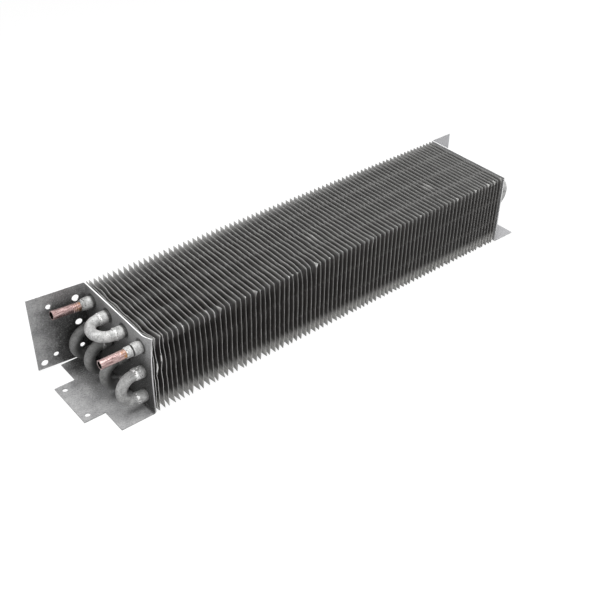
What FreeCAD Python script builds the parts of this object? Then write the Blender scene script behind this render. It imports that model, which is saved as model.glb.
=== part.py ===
import FreeCAD, Part
import math
import os

# A finned evaporator coil: thin fins on twelve tube runs, between two folded end plates.
# Sizes are in millimetres. While it is built, x = 0 is the outer face of the near end plate,
# y = 0 the front of the block and z = 0 the underside of the bottom flanges.
# At the end everything is moved, so that the origin is at the middle of the base.

# Block of fins and end plates
LENGTH = 417.0
DEPTH = 101.6
HEIGHT = 76.2

# Sheet of the end plates
SHEET = 1.2
BEND_RADIUS = 1.2
CORNER_RELIEF = 0.6

# Near end plate
NEAR_FLANGE = 31.5
TAB_REACH = 50.8
TAB_WIDTH = 51.0
TAB_START = 26.0
NEAR_BACK_FLANGE = 50.8
BACK_FLANGE_OPENING = 6.2
BACK_FLANGE_LIFT = 1.6

# Far end plate
FAR_FLANGE = 26.5

# Holes in the flanges
SMALL_HOLE = 4.8
LARGE_HOLE = 6.4
TAB_HOLE_INSET = 6.4
BACK_HOLE_NEAR_END = 6.4
BACK_HOLE_MIDDLE = 17.5
BACK_HOLE_NEAR_WEB = 41.5
LOWEST_HOLE_HEIGHT = 7.4

# Tubes, on a square grid in the middle of the plates
COLUMNS = 4
ROWS = 3
TUBE_SPACING = 25.4
TUBE_OD = 9.525
TUBE_WALL = 0.76
PLATE_HOLE_CLEARANCE = 0.15
FIN_HOLE_CLEARANCE = 0.02
FAR_STRAIGHT = 2.6

# Bells on the near ends of the tubes, and what is brazed into them
BELL_REACH = 8.2
BELL_WALL = 0.6
FLARE_LENGTH = 2.0
SOCKET_CLEARANCE = 0.05
SOCKET_END_GAP = 0.3
BEND_STRAIGHT = 0.8
BRAZE_HEIGHT = 0.7

# Copper stub tubes and the sleeves that carry them
STUB_OD = 7.94
STUB_WALL = 0.81
STUB_INSERTION = 6.0
STUB_SIZING = 0.25
STUB_NECK = 1.0
FRONT_SLEEVE_REACH = 5.1
BACK_SLEEVE_REACH = 2.6
FRONT_STUB_REACH = 23.4
BACK_STUB_REACH = 26.7
BACK_STUB_BEND = 5.0
BACK_STUB_BEND_RADIUS = 26.0
STUB_GROOVES = 3
GROOVE_DEPTH = 0.25
GROOVE_PITCH = 1.9
GROOVE_START = 1.0

# Fins
FIN_COUNT = 83
FIN_SHEET = 0.25
FIN_INSET = 0.4
FINS_PER_NODE = 3

# Gaps between fins, as shares of the full pitch: tight at the near plate, a little tight at the far one
NEAR_PLATE_SHARE = 0.31
FIRST_FIN_SHARE = 0.51
NEAR_TIGHT_SHARE = 0.88
NEAR_TIGHT_COUNT = 4
FAR_TIGHT_SHARE = 0.91
FAR_TIGHT_COUNT = 8
FAR_PLATE_SHARE = 0.58

# The near plate's top front corner, bent inwards along lines that fan out beside the corner tube.
# Each line has its slant from the front edge, its place from the corner to the tube as a share,
# and its turn. The corner pushes the first fins over by a share of each turn.
CORNER_LAND = 0.6
CORNER_BENDS = [(40, 0.31, 6), (30, 0.51, 5), (20, 0.74, 6), (15, 0.90, 6), (12, 1.0, 5.5)]
FIRST_FINS_BEND_SHARE = [0.75, 0.35]

Vector = FreeCAD.Vector
ALONG = Vector(1, 0, 0)
BACKWARDS = Vector(0, 1, 0)
UP = Vector(0, 0, 1)

tube_radius = TUBE_OD / 2
bell_bore_radius = tube_radius + SOCKET_CLEARANCE
bell_radius = bell_bore_radius + BELL_WALL
stub_radius = STUB_OD / 2
stub_end_radius = stub_radius - STUB_SIZING
sleeve_bore_radius = stub_end_radius + SOCKET_CLEARANCE
column_y = [DEPTH / 2 + (i - (COLUMNS - 1) / 2) * TUBE_SPACING for i in range(COLUMNS)]
row_z = [HEIGHT / 2 + (i - (ROWS - 1) / 2) * TUBE_SPACING for i in range(ROWS)]
tube_centres = [(y, z) for y in column_y for z in row_z]


# Plain shapes

def sheet_from_outline(points, thickness_vector):
    """A flat sheet with straight edges."""
    return Part.Face(Part.makePolygon(points + points[:1])).extrude(thickness_vector)


def ring_face(centre, direction, outer_radius, inner_radius):
    """The cut end of a tube."""
    circles = [Part.makeCircle(radius, centre, direction) for radius in (outer_radius, inner_radius)]
    return Part.makeFace([Part.Wire(circle) for circle in circles], "Part::FaceMakerBullseye")


def turned(points, y, z):
    """A solid of revolution about the tube axis at y, z, from points (x, radius)."""
    corners = [Vector(x, y, z + radius) for x, radius in points]
    profile = Part.Face(Part.makePolygon(corners + corners[:1]))
    return profile.revolve(Vector(0, y, z), ALONG, 360)


def joined(shapes):
    """Pieces of one solid, without the seams between them."""
    return shapes[0].fuse(shapes[1:]).removeSplitter()


def drilled(sheet, centre, direction, radius):
    """A sheet with a round hole through it at a point on its middle or surface."""
    reach = 4 * SHEET
    start = centre - direction * reach
    return sheet.cut(Part.makeCylinder(radius, 2 * reach, start, direction))


# End plates

def folded_flange(reach, angle):
    """Face of one flange with its fold, seen along the fold, for a web that stands on it.

    The web's sheet lies from x = 0 to x = SHEET, its edge is at y = SHEET + BEND_RADIUS, and the
    flange lies towards -x with its outer side at y = 0 when the angle is 90 degrees.
    """
    turn = math.radians(angle)
    centre = Vector(-BEND_RADIUS, SHEET + BEND_RADIUS, 0)
    outer_radius = BEND_RADIUS + SHEET

    def on_arc(radius, share):
        return centre + Vector(math.cos(turn * share), -math.sin(turn * share), 0) * radius

    along_flange = Vector(-math.sin(turn), -math.cos(turn), 0) * (reach - BEND_RADIUS)
    outer_end = on_arc(outer_radius, 1) + along_flange
    inner_end = on_arc(BEND_RADIUS, 1) + along_flange
    edges = [
        Part.Arc(on_arc(outer_radius, 0), on_arc(outer_radius, 0.5), on_arc(outer_radius, 1)).toShape(),
        Part.makeLine(on_arc(outer_radius, 1), outer_end),
        Part.makeLine(outer_end, inner_end),
        Part.makeLine(inner_end, on_arc(BEND_RADIUS, 1)),
        Part.Arc(on_arc(BEND_RADIUS, 1), on_arc(BEND_RADIUS, 0.5), on_arc(BEND_RADIUS, 0)).toShape(),
        Part.makeLine(on_arc(BEND_RADIUS, 0), on_arc(outer_radius, 0)),
    ]
    return Part.Face(Part.Wire(edges))


def folded_plate(bottom_reach, back_reach, opening):
    """A web with a bottom flange and a back flange towards -x, and a notch where the folds meet."""
    fold_depth = SHEET + BEND_RADIUS
    notch = fold_depth + CORNER_RELIEF
    web = Part.makeBox(SHEET, DEPTH - fold_depth, HEIGHT - fold_depth, Vector(0, 0, fold_depth))

    bottom = folded_flange(bottom_reach, 90)
    bottom.rotate(Vector(0, 0, 0), ALONG, 90)
    bottom = bottom.extrude(BACKWARDS * (DEPTH - fold_depth))
    strip = Part.makeBox(bottom_reach - BEND_RADIUS, fold_depth, SHEET,
                         Vector(-bottom_reach, DEPTH - fold_depth, 0))

    back = folded_flange(back_reach, 90 - opening)
    back = back.mirror(Vector(0, 0, 0), BACKWARDS)
    back.translate(Vector(0, DEPTH, BACK_FLANGE_LIFT))
    back = back.extrude(UP * (HEIGHT - BACK_FLANGE_LIFT))

    corner = Part.makeBox(notch + 2 * SHEET, 2 * notch, 2 * notch,
                          Vector(-notch, DEPTH - notch, -notch))
    return joined([piece.cut(corner) for piece in (web, bottom, strip, back)])


def tube_holes(plate, x):
    """The twelve clearance holes that the tube runs pass through."""
    for y, z in tube_centres:
        plate = drilled(plate, Vector(x, y, z), ALONG, tube_radius + PLATE_HOLE_CLEARANCE)
    return plate


def fold_corner(sheet, point, slant, turn):
    """Turn the part of a sheet in front of a slanting line, about that line, towards +x."""
    tilt = math.radians(slant)
    outwards = Vector(0, -math.cos(tilt), math.sin(tilt))
    line = Vector(0, math.sin(tilt), math.cos(tilt))
    size = DEPTH + HEIGHT
    first = point - line * size - ALONG * size
    second = point + line * size - ALONG * size
    region = sheet_from_outline([first, second, second + outwards * size, first + outwards * size],
                                ALONG * 2 * size)
    tip = sheet.common(region)
    tip.rotate(point, line, turn)
    return joined([sheet.cut(region), tip])


def bent_corner(sheet, share):
    """A sheet at x = 0 with its top front corner bent, by a share of the plate's own bend."""
    keep_clear = tube_radius + PLATE_HOLE_CLEARANCE + CORNER_LAND
    for slant, place, turn in CORNER_BENDS:
        tilt = math.radians(slant)
        inwards = Vector(0, math.cos(tilt), -math.sin(tilt))
        to_tube = Vector(0, column_y[0], row_z[-1] - HEIGHT).dot(inwards) - keep_clear
        point = Vector(0, 0, HEIGHT) + inwards * (to_tube * place)
        sheet = fold_corner(sheet, point, slant, turn * share)
    return sheet


def near_back_hole(inset, height):
    """Centre of a hole in the opened back flange, by its distance from the flange's free end."""
    opening = math.radians(BACK_FLANGE_OPENING)
    middle = BEND_RADIUS + SHEET / 2
    out_of_flange = Vector(math.sin(opening), math.cos(opening), 0)
    along_flange = Vector(-math.cos(opening), math.sin(opening), 0)
    bend_centre = Vector(-BEND_RADIUS, DEPTH - SHEET - BEND_RADIUS, height)
    flat = NEAR_BACK_FLANGE - BEND_RADIUS
    return bend_centre + out_of_flange * middle + along_flange * (flat - inset)


def near_end_plate():
    """Folded end plate with the tab, its bolt holes and its bent corner."""
    plate = folded_plate(NEAR_FLANGE, NEAR_BACK_FLANGE, BACK_FLANGE_OPENING)
    tab = sheet_from_outline([
        Vector(-NEAR_FLANGE, TAB_START, 0),
        Vector(-TAB_REACH, TAB_START, 0),
        Vector(-TAB_REACH, TAB_START + TAB_WIDTH, 0),
        Vector(-NEAR_FLANGE, TAB_START + TAB_WIDTH, 0),
    ], UP * SHEET)
    plate = joined([plate, tab])
    for y in (TAB_START + TAB_HOLE_INSET, TAB_START + TAB_WIDTH - TAB_HOLE_INSET):
        plate = drilled(plate, Vector(TAB_HOLE_INSET - TAB_REACH, y, 0), UP, SMALL_HOLE / 2)

    opening = math.radians(BACK_FLANGE_OPENING)
    out_of_flange = Vector(math.sin(opening), math.cos(opening), 0)
    large = [(BACK_HOLE_NEAR_WEB, row_z[2]), (BACK_HOLE_NEAR_WEB, row_z[1]),
             (BACK_HOLE_NEAR_END, LOWEST_HOLE_HEIGHT)]
    small = [(BACK_HOLE_MIDDLE, row_z[2]), (BACK_HOLE_MIDDLE, row_z[0]),
             (BACK_HOLE_NEAR_WEB, row_z[0])]
    for inset, height in large:
        plate = drilled(plate, near_back_hole(inset, height), out_of_flange, LARGE_HOLE / 2)
    for inset, height in small:
        plate = drilled(plate, near_back_hole(inset, height), out_of_flange, SMALL_HOLE / 2)
    return bent_corner(tube_holes(plate, 0), 1)


def far_end_plate():
    """Folded end plate with both flanges turned away from the fins."""
    plate = folded_plate(FAR_FLANGE, FAR_FLANGE, 0)
    middle = -(BEND_RADIUS + SHEET + FAR_FLANGE) / 2
    for y in (TAB_START + TAB_HOLE_INSET, TAB_START + TAB_WIDTH - TAB_HOLE_INSET):
        plate = drilled(plate, Vector(middle, y, 0), UP, SMALL_HOLE / 2)
    for z in (row_z[0], row_z[2]):
        plate = drilled(plate, Vector(middle, DEPTH, z), BACKWARDS, SMALL_HOLE / 2)
    plate = tube_holes(plate, 0)
    plate = plate.mirror(Vector(0, 0, 0), ALONG)
    plate.translate(ALONG * LENGTH)
    return plate


# Fins

def fin_blank():
    """One fin at x = 0: a thin sheet with a close hole for each tube run."""
    low_y = FIN_INSET
    high_y = DEPTH - FIN_INSET
    low_z = FIN_INSET
    high_z = HEIGHT - FIN_INSET
    corners = [Vector(0, low_y, low_z), Vector(0, high_y, low_z),
               Vector(0, high_y, high_z), Vector(0, low_y, high_z)]
    wires = [Part.makePolygon(corners + corners[:1])]
    for y, z in tube_centres:
        wires.append(Part.Wire(Part.makeCircle(tube_radius + FIN_HOLE_CLEARANCE, Vector(0, y, z), ALONG)))
    face = Part.makeFace(wires, "Part::FaceMakerBullseye")
    return face.extrude(ALONG * FIN_SHEET)


def fin_places():
    """The x of each fin's near face."""
    even_count = FIN_COUNT - 2 - NEAR_TIGHT_COUNT - FAR_TIGHT_COUNT
    shares = [FIRST_FIN_SHARE]
    shares += [NEAR_TIGHT_SHARE] * NEAR_TIGHT_COUNT
    shares += [1.0] * even_count
    shares += [FAR_TIGHT_SHARE] * FAR_TIGHT_COUNT
    clear_length = LENGTH - 2 * SHEET - FIN_SHEET
    pitch = clear_length / (NEAR_PLATE_SHARE + sum(shares) + FAR_PLATE_SHARE)
    places = [SHEET + NEAR_PLATE_SHARE * pitch]
    for share in shares:
        places.append(places[-1] + share * pitch)
    return places


def fins():
    """All fins in order from the near plate. The first ones lean away from the bent corner."""
    blank = fin_blank()
    result = []
    for index, x in enumerate(fin_places()):
        fin = blank
        if index < len(FIRST_FINS_BEND_SHARE):
            fin = bent_corner(fin, FIRST_FINS_BEND_SHARE[index])
        result.append(fin.translated(ALONG * x))
    return result


# Tubes

def u_turn(y, z, other_y, other_z, x, direction):
    """Half a ring of tube between two runs, bulging along x in the given direction."""
    across = Vector(0, other_y - y, other_z - z)
    middle = Vector(x, (y + other_y) / 2, (z + other_z) / 2)
    start = ring_face(Vector(x, y, z), ALONG, tube_radius, tube_radius - TUBE_WALL)
    axis = across.cross(ALONG * direction)
    return start.revolve(middle, axis * -1, 180)


def belled_run(y, z, end):
    """A straight run of tube from a belled near end with a rounded shoulder."""
    def at(x, radius):
        return Vector(x, y, z + radius)

    bore_radius = tube_radius - TUBE_WALL
    shoulder_radius = (tube_radius + 3 * bell_radius) / 4
    corners = [at(0, tube_radius), at(end, tube_radius), at(end, bore_radius), at(0, bore_radius),
               at(-FLARE_LENGTH, bell_bore_radius), at(-BELL_REACH, bell_bore_radius),
               at(-BELL_REACH, bell_radius), at(-FLARE_LENGTH, bell_radius)]
    shoulder = Part.Arc(corners[-1], at(-FLARE_LENGTH / 2, shoulder_radius), corners[0]).toShape()
    profile = Part.Face(Part.Wire(Part.makePolygon(corners).Edges + [shoulder]))
    return profile.revolve(Vector(0, y, z), ALONG, 360)


def hairpin(y, z, other_y, other_z):
    """A long U tube: two runs with belled near ends, joined by a half ring at the far end."""
    end = LENGTH + FAR_STRAIGHT
    turn = u_turn(y, z, other_y, other_z, end, 1)
    return joined([belled_run(y, z, end), belled_run(other_y, other_z, end), turn])


def return_bend(y, z, other_y, other_z):
    """A short U tube whose ends sit in two neighbouring bells."""
    start = -FLARE_LENGTH - SOCKET_END_GAP
    end = -BELL_REACH - BEND_STRAIGHT
    legs = []
    for leg_y, leg_z in ((y, z), (other_y, other_z)):
        face = ring_face(Vector(start, leg_y, leg_z), ALONG, tube_radius, tube_radius - TUBE_WALL)
        legs.append(face.extrude(ALONG * (end - start)))
    return joined(legs + [u_turn(y, z, other_y, other_z, end, -1)])


def braze_ring(y, z, x, inner_radius, outer_radius):
    """A fillet of braze metal on the mouth of a socket, round the tube that enters it."""
    outside = Vector(x, y, z + outer_radius)
    inside = Vector(x, y, z + inner_radius)
    top = Vector(x - BRAZE_HEIGHT, y, z + inner_radius)
    bulge = (outside + top) * 0.5 + Vector(-1, 0, 1) * (BRAZE_HEIGHT / 8)
    edges = [Part.makeLine(top, inside), Part.makeLine(inside, outside),
             Part.Arc(outside, bulge, top).toShape()]
    return Part.Face(Part.Wire(edges)).revolve(Vector(0, y, z), ALONG, 360)


def sleeve(y, z, reach):
    """A short aluminium tube in a bell, that a copper stub is brazed into."""
    start = -FLARE_LENGTH - SOCKET_END_GAP
    end = -BELL_REACH - reach
    profile = [(start, sleeve_bore_radius), (end, sleeve_bore_radius), (end, tube_radius),
               (start, tube_radius)]
    return turned(profile, y, z)


def sized_end(y, z, mouth):
    """The end of a copper stub in its sleeve, drawn down a little so that it goes in."""
    bore_radius = stub_radius - STUB_WALL
    start = mouth + STUB_INSERTION
    neck = mouth - STUB_NECK
    return turned([(start, bore_radius), (neck, bore_radius), (neck, stub_end_radius),
                   (start, stub_end_radius)], y, z)


def straight_stub(y, z, mouth, reach):
    """A copper tube from inside a sleeve straight out."""
    bore_radius = stub_radius - STUB_WALL
    start = mouth - STUB_NECK
    end = mouth - reach
    outside = turned([(start, bore_radius), (end, bore_radius), (end, stub_radius),
                      (start, stub_radius)], y, z)
    return joined([sized_end(y, z, mouth), outside])


def knocked_stub(y, z, mouth, reach):
    """A copper tube with shallow grooves, bent slightly upwards just outside its sleeve."""
    bore_radius = stub_radius - STUB_WALL
    bend_start = mouth - STUB_NECK
    face = ring_face(Vector(bend_start, y, z), ALONG, stub_radius, bore_radius)
    bend_centre = Vector(bend_start, y, z + BACK_STUB_BEND_RADIUS)
    bend = face.revolve(bend_centre, BACKWARDS, BACK_STUB_BEND)
    bend_length = BACK_STUB_BEND_RADIUS * math.radians(BACK_STUB_BEND)

    end = mouth - reach + bend_length
    outline = [(bend_start, bore_radius), (end, bore_radius), (end, stub_radius)]
    for index in reversed(range(STUB_GROOVES)):
        groove = bend_start - GROOVE_START - index * GROOVE_PITCH
        outline.append((groove - GROOVE_PITCH / 4, stub_radius))
        outline.append((groove, stub_radius - GROOVE_DEPTH))
        outline.append((groove + GROOVE_PITCH / 4, stub_radius))
    outline.append((bend_start, stub_radius))
    straight = turned(outline, y, z)
    straight.rotate(bend_centre, BACKWARDS, BACK_STUB_BEND)
    return joined([sized_end(y, z, mouth), bend, straight])


# The circuit: hairpins join runs at the far end, return bends join them at the near end

def build_pieces():
    """Every node's shape by name."""
    pieces = {"near_end_plate": near_end_plate(), "far_end_plate": far_end_plate()}
    bottom, middle, top = row_z[0], row_z[1], row_z[2]
    front, second, third, back = column_y

    hairpins = {
        "hairpin_front_upper": (front, middle, front, top),
        "hairpin_second_upper": (second, middle, second, top),
        "hairpin_third_upper": (third, middle, third, top),
        "hairpin_back_upper": (back, middle, back, top),
        "hairpin_front_lower": (front, bottom, second, bottom),
        "hairpin_back_lower": (third, bottom, back, bottom),
    }
    for name, ends in hairpins.items():
        pieces[name] = hairpin(*ends)

    bends = {
        "front": (front, bottom, front, middle),
        "second": (second, bottom, second, middle),
        "third": (third, bottom, third, middle),
        "back": (back, bottom, back, middle),
        "top": (second, top, third, top),
    }
    for name, (y, z, other_y, other_z) in bends.items():
        pieces["return_bend_" + name] = return_bend(y, z, other_y, other_z)
        rings = [braze_ring(y, z, -BELL_REACH, tube_radius, bell_radius),
                 braze_ring(other_y, other_z, -BELL_REACH, tube_radius, bell_radius)]
        pieces["braze_rings_bend_" + name] = Part.makeCompound(rings)

    stubs = {
        "front": (front, FRONT_SLEEVE_REACH, FRONT_STUB_REACH, straight_stub),
        "back": (back, BACK_SLEEVE_REACH, BACK_STUB_REACH, knocked_stub),
    }
    for name, (y, sleeve_reach, stub_reach, make_stub) in stubs.items():
        mouth = -BELL_REACH - sleeve_reach
        pieces["sleeve_" + name] = sleeve(y, top, sleeve_reach)
        pieces["copper_stub_" + name] = make_stub(y, top, mouth, stub_reach)
        rings = [braze_ring(y, top, -BELL_REACH, tube_radius, bell_radius),
                 braze_ring(y, top, mouth, stub_end_radius, tube_radius)]
        pieces["braze_rings_stub_" + name] = Part.makeCompound(rings)

    sheets = fins()
    groups = [sheets[i:i + FINS_PER_NODE] for i in range(0, len(sheets), FINS_PER_NODE)]
    for number, group in enumerate(groups, start=1):
        pieces["fins_%02d" % number] = Part.makeCompound(group)
    return pieces


def main():
    """Build the pieces, put the origin at the middle of the base and write the files."""
    pieces = build_pieces()
    box = Part.makeCompound(list(pieces.values())).BoundBox
    to_origin = Vector(-(box.XMin + box.XMax) / 2, -(box.YMin + box.YMax) / 2, -box.ZMin)
    os.makedirs("parts", exist_ok=True)
    for name, shape in pieces.items():
        shape.translated(to_origin).exportStep("parts/" + name + ".step")
    print("moved by", to_origin, "pieces", len(pieces), "solids",
          sum(len(shape.Solids) for shape in pieces.values()))


main()
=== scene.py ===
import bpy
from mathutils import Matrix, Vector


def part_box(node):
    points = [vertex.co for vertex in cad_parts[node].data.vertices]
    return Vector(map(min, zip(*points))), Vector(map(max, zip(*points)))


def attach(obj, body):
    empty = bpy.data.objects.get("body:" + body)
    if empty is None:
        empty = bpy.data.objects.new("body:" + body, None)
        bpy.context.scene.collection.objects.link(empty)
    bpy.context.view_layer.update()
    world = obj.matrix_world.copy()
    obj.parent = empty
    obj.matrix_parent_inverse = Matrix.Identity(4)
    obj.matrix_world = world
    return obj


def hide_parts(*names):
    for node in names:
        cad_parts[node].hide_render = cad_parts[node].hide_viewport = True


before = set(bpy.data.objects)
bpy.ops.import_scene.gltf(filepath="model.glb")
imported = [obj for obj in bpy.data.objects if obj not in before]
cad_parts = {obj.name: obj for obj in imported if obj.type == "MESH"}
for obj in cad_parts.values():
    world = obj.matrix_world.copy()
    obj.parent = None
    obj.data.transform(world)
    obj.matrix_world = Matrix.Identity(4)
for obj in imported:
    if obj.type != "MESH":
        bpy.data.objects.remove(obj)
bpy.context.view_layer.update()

import math
import random

import bmesh
import bpy
from mathutils import Matrix, Vector, noise


# The near end plate: one sheet of 1.2 mm aluminium, punched for twelve tubes and folded into a
# web, a bottom flange with a tab, and a back flange. Its top front corner was knocked inwards.
# The sheet is dull from storage, and its sheared edges are bare and bright, with a painted highlight.
# Painted shade darkens it by its folds, low on its web and round its tubes.

mm = 0.001
plate_sheet = 1.2 * mm
block_length = 417 * mm
far_plate_low, far_plate_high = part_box("far_end_plate")
far_web_x = far_plate_low.x + plate_sheet
web_x = far_web_x - block_length
block_front = far_plate_low.y
block_back = far_plate_high.y
block_top = far_plate_high.z
tube_spacing = block_top / 3


def linear(hex_colour):
    """An sRGB colour such as 8c8c8a as linear red, green, blue and alpha."""
    parts = [int(hex_colour[i:i + 2], 16) / 255 for i in (0, 2, 4)]
    return [p / 12.92 if p <= 0.04045 else ((p + 0.055) / 1.055) ** 2.4 for p in parts] + [1.0]


def add(owner, kind, inputs, **settings):
    """Add a node with its settings, its inputs' values and its links, and give its outputs."""
    tree = owner.node_tree
    node = tree.nodes.new(kind)
    for name, value in settings.items():
        setattr(node, name, value)
    for name, value in inputs.items():
        if isinstance(value, bpy.types.NodeSocket):
            tree.links.new(value, node.inputs[name])
        else:
            node.inputs[name].default_value = value
    return node.outputs


def bare_material(name):
    """A node material with nothing in it yet."""
    material = bpy.data.materials.new(name)
    material.use_nodes = True
    material.node_tree.nodes.clear()
    return material


def dress(node_name, material):
    """Give a CAD node its finish."""
    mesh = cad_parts[node_name].data
    mesh.materials.clear()
    mesh.materials.append(material)


def burnt_and_shaded_ring(sheet, parts):
    """Where flux burnt dark, with painted shade from the bells over it, in a ring round each tube, from
    0 to 1.
    """
    from_tube = {}
    for axis, grid_start in (("Y", block_front), ("Z", 0.0)):
        step = add(sheet, "ShaderNodeMath", {0: parts[axis], 1: grid_start}, operation="SUBTRACT")[0]
        step = add(sheet, "ShaderNodeMath", {0: step, 1: tube_spacing}, operation="FLOORED_MODULO")[0]
        from_tube[axis] = add(sheet, "ShaderNodeMath", {0: step, 1: tube_spacing / 2},
                              operation="SUBTRACT")[0]
    from_tube = add(sheet, "ShaderNodeCombineXYZ", from_tube)[0]
    from_tube = add(sheet, "ShaderNodeVectorMath", {0: from_tube}, operation="LENGTH")["Value"]
    return add(sheet, "ShaderNodeMapRange",
               {"Value": from_tube, "From Min": 8.2 * mm, "From Max": 6.5 * mm, "To Max": 0.92})[0]


def painted_shade_on_near_plate(sheet, parts, clouds, specks, facing):
    """How much painted shade the near plate has, from 0 to 1: by the fold on the flanges towards the
    back, low on the web, and in a ring round each tube, where flux also burnt dark."""
    wander = add(sheet, "ShaderNodeMath", {0: clouds, 1: 24 * mm}, operation="MULTIPLY")[0]
    along = add(sheet, "ShaderNodeMath", {0: parts["X"], 1: wander}, operation="SUBTRACT")[0]
    on_bottom_flange = add(sheet, "ShaderNodeMapRange",
                           {"Value": parts["Z"], "From Min": 3 * mm, "From Max": 2 * mm,
                            "To Max": 6 * mm})[0]
    along = add(sheet, "ShaderNodeMath", {0: along, 1: on_bottom_flange}, operation="SUBTRACT")[0]
    near_fold = add(sheet, "ShaderNodeMapRange",
                    {"Value": along, "From Min": web_x - 60 * mm, "From Max": web_x - 40 * mm})[0]
    near_back = add(sheet, "ShaderNodeMapRange",
                    {"Value": parts["Y"], "From Min": block_front + 22 * mm,
                     "From Max": block_back - 12 * mm, "To Max": 0.9})[0]
    below_rim = add(sheet, "ShaderNodeMapRange",
                    {"Value": parts["Z"], "From Min": 77 * mm, "From Max": 58 * mm, "To Min": 0.3})[0]
    # Painted shade in the corner by the fold, towards the back.
    painted_shade = near_fold
    for limit in (near_back, below_rim):
        painted_shade = add(sheet, "ShaderNodeMath", {0: painted_shade, 1: limit}, operation="MULTIPLY")[0]
    low_down = add(sheet, "ShaderNodeMapRange",
                   {"Value": parts["Z"], "From Min": 71 * mm, "From Max": 45 * mm, "To Max": 0.9})[0]
    on_web = add(sheet, "ShaderNodeMapRange",
                 {"Value": parts["X"], "From Min": web_x - 3 * mm, "From Max": web_x - 1 * mm})[0]
    low_on_web = add(sheet, "ShaderNodeMath", {0: low_down, 1: on_web}, operation="MULTIPLY")[0]
    painted_shade = add(sheet, "ShaderNodeMath", {0: painted_shade, 1: low_on_web}, operation="MAXIMUM")[0]
    inner_side = add(sheet, "ShaderNodeMath", {0: facing["Y"], 1: 0.5}, operation="LESS_THAN")[0]
    painted_shade = add(sheet, "ShaderNodeMath", {0: painted_shade, 1: inner_side}, operation="MULTIPLY")[0]
    # Flux burnt dark round each tube, with painted shade from the bells.
    flux_and_shade_ring = add(sheet, "ShaderNodeMath", {0: burnt_and_shaded_ring(sheet, parts), 1: on_web},
                    operation="MULTIPLY")[0]
    painted_shade = add(sheet, "ShaderNodeMath", {0: painted_shade, 1: flux_and_shade_ring}, operation="MAXIMUM")[0]
    on_near_plate = add(sheet, "ShaderNodeMath", {0: parts["X"], 1: web_x + 3 * mm},
                        operation="LESS_THAN")[0]
    pale_patches = add(sheet, "ShaderNodeMapRange",
                  {"Value": specks, "From Min": 0.5, "From Max": 0.66, "To Min": 1.0, "To Max": 0.7})[0]
    for limit in (on_near_plate, pale_patches):
        painted_shade = add(sheet, "ShaderNodeMath", {0: painted_shade, 1: limit}, operation="MULTIPLY")[0]
    return painted_shade


def cut_edges_with_painted_highlight(sheet, parts, facing):
    """Where a sheared edge is bare and bright, with a painted highlight, from 0 to 1: along the plates'
    tops, and down the front of the near web, less so towards its foot."""
    square_on = 0.7
    facing_up = add(sheet, "ShaderNodeMath", {0: facing["Z"], 1: square_on}, operation="GREATER_THAN")[0]
    high_up = add(sheet, "ShaderNodeMath", {0: parts["Z"], 1: 60 * mm}, operation="GREATER_THAN")[0]
    on_top = add(sheet, "ShaderNodeMath", {0: high_up, 1: facing_up}, operation="MULTIPLY")[0]
    on_front = add(sheet, "ShaderNodeMath", {0: facing["Y"], 1: -square_on}, operation="LESS_THAN")[0]
    by_front = add(sheet, "ShaderNodeMath", {0: parts["Y"], 1: block_front + 4 * mm},
                   operation="LESS_THAN")[0]
    in_web = add(sheet, "ShaderNodeMath", {0: parts["X"], 1: web_x - 0.5 * mm},
                 operation="GREATER_THAN")[0]
    up_from_foot = add(sheet, "ShaderNodeMapRange",
                       {"Value": parts["Z"], "From Min": 2 * mm, "From Max": 70 * mm,
                        "To Min": 0.35})[0]
    for limit in (by_front, in_web, up_from_foot):
        on_front = add(sheet, "ShaderNodeMath", {0: on_front, 1: limit}, operation="MULTIPLY")[0]
    cut_edge_highlight = add(sheet, "ShaderNodeMath", {0: on_top, 1: on_front}, operation="MAXIMUM")[0]
    thin_face = add(sheet, "ShaderNodeMath", {0: facing["X"], 1: 0.0, 2: 0.62}, operation="COMPARE")[0]
    return add(sheet, "ShaderNodeMath", {0: cut_edge_highlight, 1: thin_face}, operation="MULTIPLY")[0]


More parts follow.
